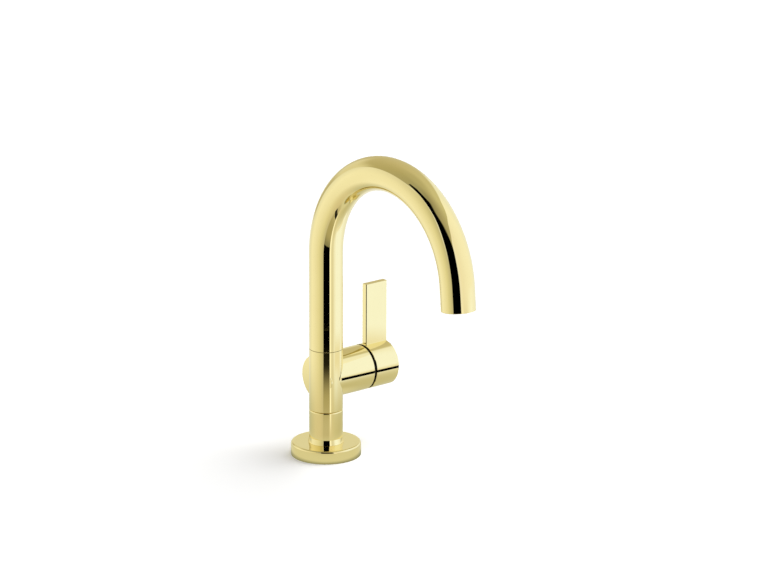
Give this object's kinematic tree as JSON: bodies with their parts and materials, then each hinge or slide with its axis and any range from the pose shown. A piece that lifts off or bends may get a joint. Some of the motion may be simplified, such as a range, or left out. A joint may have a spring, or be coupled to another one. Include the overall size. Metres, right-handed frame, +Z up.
{
  "type": "gooseneck bar faucet",
  "caption": "Deck-mounted single-lever bar faucet: swivelling gooseneck spout on a slim column, side valve barrel with upright flat blade lever, aerator and under-deck fixing hardware.",
  "frame": {"origin": "centre of the base flange's underside, on the deck plane", "axes": "+Z up along the column, -Y from the column towards the outlet, +X along the valve barrel towards the lever"},
  "size_m": [0.099, 0.2127, 0.3253],
  "materials": {
    "polished_brass": "mirror-polished pale brass plating",
    "satin_brass": "fine-turned brass plating",
    "raw_brass": "machined, unplated",
    "stainless_steel": "machined and passivated",
    "black_rubber": "moulded, matt",
    "white_acetal": "moulded, satin",
    "dark_acetal": "moulded, satin",
    "ceramic": "lapped ceramic, glossy"
  },
  "bodies": {
    "faucet_body": {"deck_gasket": "black_rubber", "base_flange": "polished_brass", "pedestal": "polished_brass", "mounting_shank": "raw_brass", "rubber_washer": "black_rubber", "steel_washer": "stainless_steel", "mounting_nut": "raw_brass", "valve_body": "polished_brass", "swivel_post": "raw_brass", "post_o_rings": "black_rubber", "glide_rings": "white_acetal", "glide_washer": "white_acetal", "cartridge_seal": "black_rubber", "cartridge_base": "dark_acetal", "fixed_disc": "ceramic", "cartridge_housing": "dark_acetal", "cartridge_nut": "raw_brass", "hub_washer": "dark_acetal"},
    "spout": {"spout_tube": "polished_brass", "spout_bush": "raw_brass", "spout_screw": "stainless_steel", "outlet_ferrule": "raw_brass", "aerator_housing": "satin_brass", "aerator_washer": "black_rubber", "aerator_core": "white_acetal", "aerator_screen": "white_acetal"},
    "lever": {"moving_disc": "ceramic", "valve_stem": "raw_brass", "stem_o_ring": "black_rubber", "lever_handle": "polished_brass", "handle_screw": "stainless_steel", "screw_plug": "dark_acetal"}
  },
  "joints": [
    {"name": "spout_swing", "type": "hinge", "parent": "faucet_body", "child": "spout", "pos_m": [0, 0, 0.108], "axis": [0, 0, 1], "continuous": true},
    {"name": "handle_turn", "type": "hinge", "parent": "faucet_body", "child": "lever", "pos_m": [0.057, 0.0056, 0.0669], "axis": [1, 0, 0], "range_deg": [0, 90]}
  ]
}
